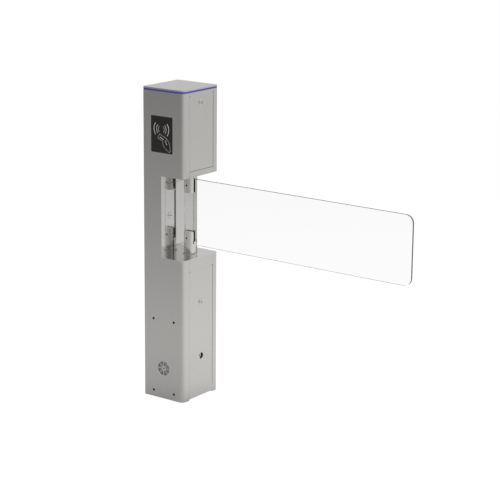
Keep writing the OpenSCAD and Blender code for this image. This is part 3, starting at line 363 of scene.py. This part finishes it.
# %% Metals
satin_stainless = metal("satin stainless sheet", "#dfddda", 0.27, 1.0, 0.35)
satin_lid = metal("satin stainless lid", "#e1dfdd", 0.34, 1.0, 1.0, along=(0.02, 1, 1))
buffed_wall = metal("buffed stainless wall", "#dddcda", 0.10, 2.0, 0.15)
mirror_deck = metal("mirror-polished stainless deck", "#e6e5e3", 0.15, 2.0, 0.1, along=(0.02, 1, 1))
polished_bar = metal("polished stainless bar", "#ebe9e5", 0.12, 1.0, 0.3, along=(1, 1, 1))
chrome = metal("chrome plate", "#dddddd", 0.08, 2.0, 0.1)
zinc = metal("zinc-plated steel", "#b9bab4", 0.42, 3.0, 0.8, along=(1, 1, 1))
ground_steel = metal("ground bearing steel", "#b4b4b4", 0.28, 0.8, 0.6)
machined_aluminium = metal("machined aluminium", "#c4c6c8", 0.38, 0.8, 0.6, along=(1, 1, 1))

# %% [markdown]
# ## A recipe for plastics, rubber and paint
# These scatter most of the light that they take in, and differ in how glossy the skin on top is. Each could
# have a shader of its own, but one recipe with a colour, a gloss and a grain covers them all. Moulded plastic
# has a fine spark-eroded grain, about 0.3 mm across.

# %% Plastic recipe
CLOUD = 0.06
GRAIN_HEIGHT = 0.0001


def moulded(name, hex_code, roughness, grain_mm=0.3, grain_depth=0.1, specular=0.5):
    """Plastic, rubber, cloth or paint with a fine grain."""
    made, tree = new_material(name)
    point = node(tree, "ShaderNodeTexCoord").outputs["Object"]
    grain = node(tree, "ShaderNodeTexNoise", {}, {"Vector": point, "Scale": 1000 / grain_mm, "Detail": 1.0})
    cloud = node(tree, "ShaderNodeTexNoise", {}, {"Vector": point, "Scale": 14.0, "Detail": 2.0})
    tone = node(tree, "ShaderNodeMapRange", {},
                {"Value": cloud.outputs[0], "From Min": 0.3, "From Max": 0.7,
                 "To Min": 1 - CLOUD, "To Max": 1 + CLOUD})
    tint = node(tree, "ShaderNodeMix", {"data_type": "RGBA", "blend_type": "MULTIPLY"},
                {0: 1.0, 6: colour(hex_code), 7: tone.outputs[0]})
    bump = node(tree, "ShaderNodeBump", {},
                {"Height": grain.outputs[0], "Strength": grain_depth, "Distance": GRAIN_HEIGHT})
    plastic = node(tree, "ShaderNodeBsdfPrincipled", {},
                   {"Base Color": tint.outputs["Result"], "Roughness": roughness,
                    "Specular IOR Level": specular, "Normal": bump.outputs[0]})
    node(tree, "ShaderNodeOutputMaterial", {}, {"Surface": plastic.outputs[0]})
    print("dull finish:", name)
    return made


# %% [markdown]
# ### The plastics of this barrier
# The reader's window is smooth acrylic and shines the most, rubber is duller and darker than plastic, and the
# speaker's cloth is the dullest. The light strip is blue acrylic with hardly any grain. The numbers are a
# colour, a roughness, the grain's size in millimetres, its depth and the gloss of the skin.

# %% Plastics
black_acrylic = moulded("black acrylic window", "#1b1b1b", 0.08, 1.0, 0.0)
legend_ink = moulded("pale grey screen-print ink", "#bfbcb7", 0.5, 0.2, 0.05)
black_plastic = moulded("black ABS", "#1d1d1d", 0.45)
speaker_cloth = moulded("grey speaker cloth", "#7a7a79", 0.9, 0.8, 0.4, 0.2)
grey_plastic = moulded("grey PVC", "#a9aaa6", 0.4)
pale_plastic = moulded("pale grey ABS", "#e8e8e4", 0.4)
black_rubber = moulded("black EPDM rubber", "#181818", 0.6, 0.4, 0.15, 0.3)
red_rubber = moulded("red polyurethane", "#a3302a", 0.35)
black_oxide = moulded("black oxide screw", "#0a0a0a", 0.5, 0.2, 0.05, 0.2)
black_paint = moulded("black motor paint", "#1e1f21", 0.3, 0.8, 0.1)
white_board = moulded("white circuit board", "#e6e6e0", 0.35)
green_board = moulded("green circuit board", "#1d5a36", 0.3)
battery_case = moulded("black battery case", "#232427", 0.42)
strip_acrylic = moulded("blue diffusing acrylic", "#3f3e92", 0.25, 0.5, 0.02)

# %% [markdown]
# ## Glass
# The wing is toughened float glass. Clear glass has hardly any colour face on, and its edges look dark
# because light reaches them along the whole pane. The photo shows next to no shift of what is behind the
# pane, so the body bends light only a little, and a clear coat gives the skin the shine of real glass. A
# pane that bends so little light would hide its ground edges, so their light and shade is painted on: a
# painted shade from outside, and a painted highlight on the side of the inner end that is seen through the
# pane.

# %% Glass
GLASS_BODY_IOR = 1.15
GLASS_SKIN_IOR = 1.5

clear_glass, tree = new_material("toughened float glass")
pane = node(tree, "ShaderNodeBsdfPrincipled", {},
            {"Base Color": colour("#fdfdfd"), "Roughness": 0.0, "Transmission Weight": 1.0,
             "IOR": GLASS_BODY_IOR, "Coat Weight": 1.0, "Coat Roughness": 0.0, "Coat IOR": GLASS_SKIN_IOR})
node(tree, "ShaderNodeOutputMaterial", {}, {"Surface": pane.outputs[0]})
# Painted light for the ground edges: a painted shade outside, and a painted highlight seen through the pane.
painted_dark_glass_edge = moulded("ground glass edge painted dark", "#5a5d5b", 0.35, 0.4, 0.1)
painted_bright_glass_edge = moulded("glass edge painted light where seen through the pane", "#fafcfb", 0.6, 0.4, 0.1)
print("glass bends light as an index of", GLASS_BODY_IOR, "and shines as one of", GLASS_SKIN_IOR)

# %% [markdown]
# ## Finishes for the CAD pieces
# Each part of the real barrier comes from its own trade: sheet metal, turned bar, castings, plastics,
# bought-in electrics. One table says which finish each piece has, because a table is easier to check than a
# material set here and there. A CAD piece keeps its mesh: only its material slot changes.

# %% Assign finishes
FINISHES = {
    satin_stainless: ["housing_shell", "ceiling_plate", "top_frame", "lower_door", "upper_door", "crossbars"],
    satin_lid: ["lid"],
    buffed_wall: ["notch_wall", "notch_cover"],
    mirror_deck: ["deck_plate", "bearing_cover"],
    polished_bar: ["lower_clamp", "upper_clamp", "swing_shaft"],
    chrome: ["lower_lock", "lower_lock_plug", "upper_lock", "upper_lock_plug", "cover_lock",
             "cover_lock_plug", "key_switch_plug", "cover_plate_screws"],
    zinc: ["base_plate", "lid_nuts", "door_rods", "lower_lock_cam", "upper_lock_cam", "cover_lock_cam",
           "battery_bracket"],
    ground_steel: ["lower_bearings", "upper_pivot", "upper_bearing", "gearbox_hub", "drive_pillars",
                   "gearbox"],
    machined_aluminium: ["chassis_plate", "power_supply", "lower_bearing_housing",
                         "upper_bearing_housing", "coupling_hub", "drive_plate"],
    black_acrylic: ["reader_window"],
    black_plastic: ["reader_module", "speaker", "encoder"],
    grey_plastic: ["cable_duct", "drive_gear", "encoder_pinion"],
    pale_plastic: ["key_switch"],
    black_rubber: ["clamp_rubbers"],
    red_rubber: ["coupling_spider"],
    black_oxide: ["chassis_screws", "clamp_screws"],
    black_paint: ["motor", "brake"],
    white_board: ["led_board"],
    green_board: ["controller_board"],
    battery_case: ["battery"],
    strip_acrylic: ["light_strip"],
    clear_glass: ["glass_panel"],
}
for finish, names in FINISHES.items():
    for name in names:
        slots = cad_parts[name].data.materials
        if len(slots) == 0:
            slots.append(finish)
        for index in range(len(slots)):
            slots[index] = finish
unfinished = set(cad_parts) - {name for names in FINISHES.values() for name in names}
print("CAD pieces without a finish:", sorted(unfinished))

# %% [markdown]
# ## Pieces made here
# Some pieces are too thin, too soft or too fine for the construction model: the trim at the notch's rear
# edge, the ground edge of the glass, the strips in the doors' gaps, the legend on the reader's window, the
# screws' button heads, the lip seal in the collar and the cloth behind the speaker's holes. Changed copies
# stand for two CAD pieces, the shell and the pane. Each one is made in metres where it belongs, as a bmesh,
# takes its place from the CAD piece that carries it, and rides on the same body.


# %% Piece helpers
def add_object(name, mesh, body):
    """Makes a mesh a piece of the object that rides on a CAD body."""
    made = bpy.data.objects.new(name, mesh)
    scene.collection.objects.link(made)
    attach(made, body)
    return made


def add_piece(name, bm, finish, body):
    """Turns a bmesh into a piece with its outsides out and its finish on, and prints its number of faces."""
    bmesh.ops.recalc_face_normals(bm, faces=bm.faces)
    mesh = bpy.data.meshes.new(name)
    bm.to_mesh(mesh)
    bm.free()
    mesh.materials.append(finish)
    print(name, "has", len(mesh.polygons), "faces")
    return add_object(name, mesh, body)


def push_out(bm, parts, travel):
    """Extrudes faces of a bmesh by travel, and gives back what ends it: its faces, edges and corners."""
    end = bmesh.ops.extrude_face_region(bm, geom=parts)["geom"]
    bmesh.ops.translate(bm, verts=[part for part in end if isinstance(part, bmesh.types.BMVert)], vec=travel)
    return end


def bar(outline, travel):
    """A bmesh bar, a flat outline of points that is extruded by travel, and its far end."""
    bm = bmesh.new()
    face = bm.faces.new([bm.verts.new(point) for point in outline])
    return bm, push_out(bm, [face], travel)


def add_block(bm, middle, size):
    """Adds a box to a bmesh, and gives back its vertices."""
    verts = bmesh.ops.create_cube(bm, size=1.0)["verts"]
    bmesh.ops.scale(bm, verts=verts, vec=size)
    bmesh.ops.translate(bm, verts=verts, vec=middle)
    return verts


# %% [markdown]
# ### The notch's rear edge
# The photo shows this edge as one light surface. The CAD shell has a 12 mm fold there, and the polished
# wall would mirror the dark pocket behind it. A boolean could cut the fold off, but its faces lie in a
# small box of their own, so they are found by their place and deleted from a copy, and one face closes the
# back sheet behind them. The copy isn't merged, because it carries the CAD model's own normals, which keep
# its bends smooth.

# %% Shell without the fold
FOLD_LOW = (-0.0011, 0.0735, 0.4645)
FOLD_HIGH = (0.0006, 0.0846, 0.7255)

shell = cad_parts["housing_shell"]
bm = bmesh.new()
bm.from_mesh(shell.data)
fold = [face for face in bm.faces
        if all(FOLD_LOW[k] <= v.co[k] <= FOLD_HIGH[k] for v in face.verts for k in range(3))]
lowest = [min(v.co[k] for face in fold for v in face.verts) for k in range(3)]
highest = [max(v.co[k] for face in fold for v in face.verts) for k in range(3)]
bmesh.ops.delete(bm, geom=fold, context="FACES")
seat = [(lowest[0], lowest[2]), (highest[0], lowest[2]), (highest[0], highest[2]), (lowest[0], highest[2])]
bm.faces.new([bm.verts.new((x, highest[1], z)) for x, z in seat])
open_mesh = shell.data.copy()
bm.to_mesh(open_mesh)
bm.free()
open_shell = add_object("column_shell", open_mesh, "root")
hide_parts("housing_shell")
print("faces of the fold left out:", len(fold))

# %% [markdown]
# ### The trim at the rear edge
# A polished trim bridges the corner between the wall and the back sheet at about 45 degrees. It is a
# three-sided bar, so its section is drawn as one face, seen from above, and extruded upwards.

# %% Corner trim
TRIM_SECTION = ((-0.0075, 0.0778), (0.0005, 0.0845), (-0.0075, 0.0845))
TRIM_LOW = 0.4651
TRIM_HIGH = 0.7249

trim, _ = bar([(x, y, TRIM_LOW) for x, y in TRIM_SECTION], (0, 0, TRIM_HIGH - TRIM_LOW))
add_piece("notch_corner_trim", trim, polished_bar, "root")

# %% [markdown]
# ### The wing's glass
# The photo shows the clamp, and not the backdrop, behind the pane's lower corner, so the pane is cut back 9
# mm further beside the lower clamp than the CAD model has it. Only the corners of that cut move, on a copy
# of the CAD mesh, because everything else about the pane is right.

# %% Pane
CUT_EDGE = 0.0532
CUT_LONGER = 0.009
CUT_TOLERANCE = 0.0002

pane_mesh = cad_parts["glass_panel"].data.copy()
moved = [v for v in pane_mesh.vertices if abs(v.co.x - CUT_EDGE) < CUT_TOLERANCE]
for v in moved:
    v.co.x += CUT_LONGER
wing_glass = add_object("wing_glass", pane_mesh, "wing")
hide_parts("glass_panel")
print("corners of the glass moved:", len(moved))

# %% [markdown]
# ### The ground edge of the pane, in painted shade
# A real pane's edge is ground flat between two small bevels, and looks darker than its faces, because of
# how light runs through the pane. Here that darkness is painted shade on a band, 0.06 mm thick, along the
# top, round the upper outer corner, down the end and into the lower one. A texture could paint the shade on
# the pane's own edge faces, but a band leaves the pane one clean piece of glass. Its section is a thin
# rectangle that is extruded along the straight stretches and spun round the corners.

# %% Ground edge
CORNER_RADIUS = 0.025
UPPER_ARC = math.radians(90)
LOWER_ARC = math.radians(50)
ARC_STEPS = 24
EDGE_SKIN = 0.00006
EDGE_ARRIS = 0.0004

low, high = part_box("glass_panel")
near, far = low[1] + EDGE_ARRIS, high[1] - EDGE_ARRIS
start_x, arc_x = low[0] + EDGE_ARRIS, high[0] - CORNER_RADIUS
upper_z, lower_z = high[2] - CORNER_RADIUS, low[2] + CORNER_RADIUS
corners = ((near, 0), (near, EDGE_SKIN), (far, EDGE_SKIN), (far, 0))
band, end = bar([(start_x, y, high[2] + out) for y, out in corners], (arc_x - start_x, 0, 0))
spun = bmesh.ops.spin(band, geom=end, cent=(arc_x, 0, upper_z), axis=(0, 1, 0), angle=UPPER_ARC,
                      steps=ARC_STEPS)
end = push_out(band, spun["geom_last"], (0, 0, lower_z - upper_z))
bmesh.ops.spin(band, geom=end, cent=(arc_x, 0, lower_z), axis=(0, 1, 0), angle=LOWER_ARC, steps=ARC_STEPS)
print("edge band:", len(band.faces), "faces")

# %% [markdown]
# ### The pane's inner end
# Between the clamps the pane's inner end is ground too. Seen from outside it is painted dark, and the deck
# mirrors it as a fine dark line, but through the pane one looks at its lit inner side. So it is a thin slab,
# a scaled cube, with a painted highlight, the bright material, in a second slot for the one side that faces
# the glass.

# %% Inner end
lower_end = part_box("lower_clamp")[1][2] + EDGE_ARRIS
upper_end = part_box("upper_clamp")[0][2] - EDGE_ARRIS
# The slab is as thick as the band, and one more thickness of air lies between it and the glass.
end_x = low[0] - 1.5 * EDGE_SKIN
inner_end = add_block(band, (end_x, (low[1] + high[1]) / 2, (lower_end + upper_end) / 2),
                      (EDGE_SKIN, high[1] - low[1] - 2 * EDGE_ARRIS, upper_end - lower_end))
for face in {face for vert in inner_end for face in vert.link_faces}:
    # The slab's side that faces the glass gets the painted highlight, the others the painted shade.
    face.material_index = int(min(vert.co.x for vert in face.verts) > end_x)
edge = add_piece("glass_edge_band_painted_dark_and_bright", band, painted_dark_glass_edge, "wing")
edge.data.materials.append(painted_bright_glass_edge)

# %% [markdown]
# ### Sealing strips above the doors
# A thin steel strip on the frame covers the gap above each door, flush with the sheet, so that rain stays
# out. It fills the round of the door's bend, so its section is a small outline with an arc in it, extruded
# along the gap. The arc keeps a hair of play, which leaves the door free to tilt out.

# %% Head strips
DOOR_GAP = 0.0006
HEAD_INSET = 0.0026
HEAD_DOWN = 0.0018
HEAD_SUNK = 0.0001
DOOR_BEND = 0.0023
BEND_PLAY = 0.00003
BEND_FROM, BEND_TO = 12, 72
BEND_STEPS = 6


def head_strip(low, high):
    """The strip over a door as a bmesh, from the corners of the door's box."""
    bend_radius = DOOR_BEND + BEND_PLAY
    section = [(high[0] - HEAD_SUNK, high[2] + DOOR_GAP), (high[0] - HEAD_SUNK, high[2] - HEAD_DOWN)]
    for k in range(BEND_STEPS + 1):
        turn = math.radians(BEND_FROM + (BEND_TO - BEND_FROM) * k / BEND_STEPS)
        section.append((high[0] - DOOR_BEND + bend_radius * math.cos(turn),
                        high[2] - DOOR_BEND + bend_radius * math.sin(turn)))
    section.append((section[-1][0], high[2] + DOOR_GAP))
    near, far = low[1] + HEAD_INSET, high[1] - HEAD_INSET
    return bar([(x, near, z) for x, z in section], (0, far - near, 0))[0]


# %% [markdown]
# ### Strips beside the doors
# A second strip stands in the gap at each door's right side, a little below the face, so that the gap shows
# as a faint line and not as a black one. It is a plain bar, so a scaled cube makes it.

# %% Door strips
GAP_PLAY = 0.00005
SIDE_SUNK = 0.0002
SIDE_DEEP = 0.0006

for door in ("lower_door", "upper_door"):
    low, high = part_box(door)
    add_piece(door + "_head_strip", head_strip(low, high), satin_stainless, "root")
    side_strip = bmesh.new()
    middle = (high[0] - SIDE_SUNK - SIDE_DEEP / 2, high[1] + DOOR_GAP / 2, (low[2] + high[2]) / 2)
    add_block(side_strip, middle, (SIDE_DEEP, DOOR_GAP - 2 * GAP_PLAY, high[2] - low[2]))
    add_piece(door + "_side_strip", side_strip, satin_stainless, "root")

# %% [markdown]
# ### Lines on the reader's window
# The legend is screen-printed ink. It could be a texture, but a few raised lines stay sharp at any distance
# and survive every export. A line is a band of even width between two rails of vertices, drawn in
# millimetres to the right and down from the window's upper left corner.

# %% Window lines
WINDOW_BORDER = 0.005

low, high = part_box("reader_window")
window_left = low[0] + WINDOW_BORDER
window_top = high[2] - WINDOW_BORDER
window_face = low[1]


def on_window(point):
    """Place on the window's face of a point given as (right, down) in millimetres."""
    return Vector((window_left + point[0] / 1000, window_face, window_top - point[1] / 1000))


def line(bm, points, width):
    """Adds a band of even width along points given as (right, down) in millimetres."""
    rails = []
    for i, point in enumerate(points):
        ahead = Vector(points[min(i + 1, len(points) - 1)]) - Vector(points[max(i - 1, 0)])
        across = Vector((ahead.y, -ahead.x)).normalized() * width / 2
        rails.append([bm.verts.new(on_window(Vector(point) + side * across)) for side in (-1, 1)])
    for (a, b), (c, d) in zip(rails, rails[1:]):
        bm.faces.new((a, b, d, c))


print("legend's corner at", tuple(round(c, 4) for c in on_window((0, 0))))

# %% [markdown]
# ### The legend: radio waves, and a hand that holds a card
# The legend says without words what to do. Each wave is an arc on both sides of one centre, with its
# radius, its half angle and its line width. The card is a rectangle whose lines are given as shares of its
# two sides, with a gap where the hand holds it. All lines are then raised together by a tenth of a
# millimetre.

# %% Legend
INK = 0.0001
FINE_LINE = 0.8
STRIPE_LINE = 2.0
THUMB_LINE = 1.6
WAVES = ((29.2, 39, 2.1), (18.9, 44, 1.6), (11.7, 47, 1.1))
WAVE_CENTRE = Vector((41.0, 40.5))
WAVE_STEPS = 16
CARD_CORNER = Vector((33.3, 55.3))
CARD_SIZE = (30.8, 15.4)
CARD_TILT = math.radians(24)
CARD_OUTLINE = ((0.66, 1), (0.5, 1), (0, 1), (0, 0), (1, 0), (1, 0.4))
CARD_STRIPE = ((0.18, 0.56), (0.72, 0.56))
HAND = ((61.5, 69.0), (66.5, 73.0), (71.5, 79.5), (74.2, 88.0), (75.0, 98.0), (77.0, 106.5), (73.0, 109.5),
        (66.0, 106.0), (58.5, 101.0), (52.0, 95.5), (47.5, 89.0), (45.5, 82.5), (47.0, 79.5))
THUMB = ((55.0, 75.5), (58.5, 77.5), (59.5, 82.0), (63.0, 88.5))

legend = bmesh.new()
for radius, half_angle, width in WAVES:
    for side in (0, 180):
        angles = [math.radians(side + half_angle * (2 * k / WAVE_STEPS - 1)) for k in range(WAVE_STEPS + 1)]
        line(legend, [WAVE_CENTRE + radius * Vector((math.cos(a), math.sin(a))) for a in angles], width)

along_card = Vector((math.cos(CARD_TILT), math.sin(CARD_TILT))) * CARD_SIZE[0]
across_card = Vector((-math.sin(CARD_TILT), math.cos(CARD_TILT))) * CARD_SIZE[1]
card = [CARD_CORNER + u * along_card + v * across_card for u, v in CARD_OUTLINE]
for start, end in zip(card, card[1:]):
    line(legend, (start, end), FINE_LINE)
line(legend, [CARD_CORNER + u * along_card + v * across_card for u, v in CARD_STRIPE], STRIPE_LINE)
line(legend, HAND, FINE_LINE)
line(legend, THUMB, THUMB_LINE)
push_out(legend, legend.faces[:], (0, -INK, 0))
add_piece("reader_legend", legend, legend_ink, "root")

# %% [markdown]
# ### Lathed pieces
# The screws' heads, the lip seal and the cloth are all round, so they are lathed: a closed profile of radii
# and heights is spun round an axis. A full spin merges its last step with its first, and points on the axis
# itself are merged afterwards.

# %% Lathe
MERGE = 1e-7


def turned(profile, centre, axis, steps=96):
    """A bmesh lathed from a closed profile of (radius, height) points around an axis through centre."""
    bm = bmesh.new()
    side = Vector((1, 0, 0))
    corners = [bm.verts.new(Vector(centre) + r * side + h * Vector(axis)) for r, h in profile]
    loop = [bm.edges.new((corners[i - 1], corners[i])) for i in range(len(corners))]
    bmesh.ops.spin(bm, geom=corners + loop, cent=centre, axis=axis, angle=2 * math.pi, steps=steps,
                   use_merge=True)
    bmesh.ops.remove_doubles(bm, verts=bm.verts, dist=MERGE)
    return bm


# %% [markdown]
# ### Heads of the four screws on the reader's side
# The photo shows four black button heads, which are wider than the CAD screws. Each is a low dome with a
# hole in the middle, lathed round the CAD screw's own hexagon socket. The four are joined in one bmesh,
# because they share a finish and a body.

# %% Button heads
SCREW_RADIUS = 0.0026
SOCKET_RADIUS = 0.0018
BUTTON_RADIUS = 0.0041
BUTTON_RISE = 0.0006
BUTTON_SEAT = 0.00002
BUTTON_RIM = 0.00015
BUTTON_STEPS = 40
DOME_SHARES = ((0.65, 0.85), (0.9, 0.45))

low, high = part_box("chassis_screws")
button = [(SOCKET_RADIUS, BUTTON_SEAT), (SOCKET_RADIUS, BUTTON_RISE)]
button += [(BUTTON_RADIUS * out, BUTTON_RISE * rise) for out, rise in DOME_SHARES]
button += [(BUTTON_RADIUS, BUTTON_RIM), (BUTTON_RADIUS, BUTTON_SEAT)]
heads = bmesh.new()
for x in (low[0] + SCREW_RADIUS, high[0] - SCREW_RADIUS):
    for z in (low[2] + SCREW_RADIUS, high[2] - SCREW_RADIUS):
        head = turned(button, (x, low[1], z), (0, -1, 0), BUTTON_STEPS)
        mesh = bpy.data.meshes.new("head")
        head.to_mesh(mesh)
        head.free()
        heads.from_mesh(mesh)
        bpy.data.meshes.remove(mesh)
add_piece("chassis_screw_heads", heads, black_oxide, "root")

# %% [markdown]
# ### Lip seal round the shaft
# The seal fills the recess in the collar's top and stops a hair short of the shaft, which turns inside it.
# Its profile is given in millimetres, out from its inner edge and up from the collar's top, with the lip as
# its highest point.

# %% Lip seal
SEAL_INSET = 0.00295
SEAL_PROFILE = ((0, 0.4), (0.3, 0.6), (1.3, 0.1), (1.5, -0.1), (1.5, -0.95), (0.4, -0.95), (0, -0.5))

low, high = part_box("bearing_cover")
shaft_axis = ((low[0] + high[0]) / 2, (low[1] + high[1]) / 2, high[2])
seal_in = (high[0] - low[0]) / 2 - SEAL_INSET
seal = turned([(seal_in + out / 1000, rise / 1000) for out, rise in SEAL_PROFILE], shaft_axis, (0, 0, 1))
add_piece("shaft_lip_seal", seal, black_rubber, "root")

# %% [markdown]
# ### Cloth behind the speaker's holes
# Speakers of this kind have a dust cloth over the mouth, which is what one sees through the holes. Its
# weave is too fine to show, so it is a thin disc with a dull grain.

# %% Speaker cloth
CLOTH_INSET = 0.0048
CLOTH_NEAR, CLOTH_FAR = 0.0002, 0.0005

low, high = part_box("speaker")
mouth = ((low[0] + high[0]) / 2, low[1], (low[2] + high[2]) / 2)
cloth_radius = (high[0] - low[0]) / 2 - CLOTH_INSET
cloth = turned([(0.0, CLOTH_NEAR), (cloth_radius, CLOTH_NEAR), (cloth_radius, CLOTH_FAR), (0.0, CLOTH_FAR)],
               mouth, (0, 1, 0))
add_piece("speaker_cloth", cloth, speaker_cloth, "root")
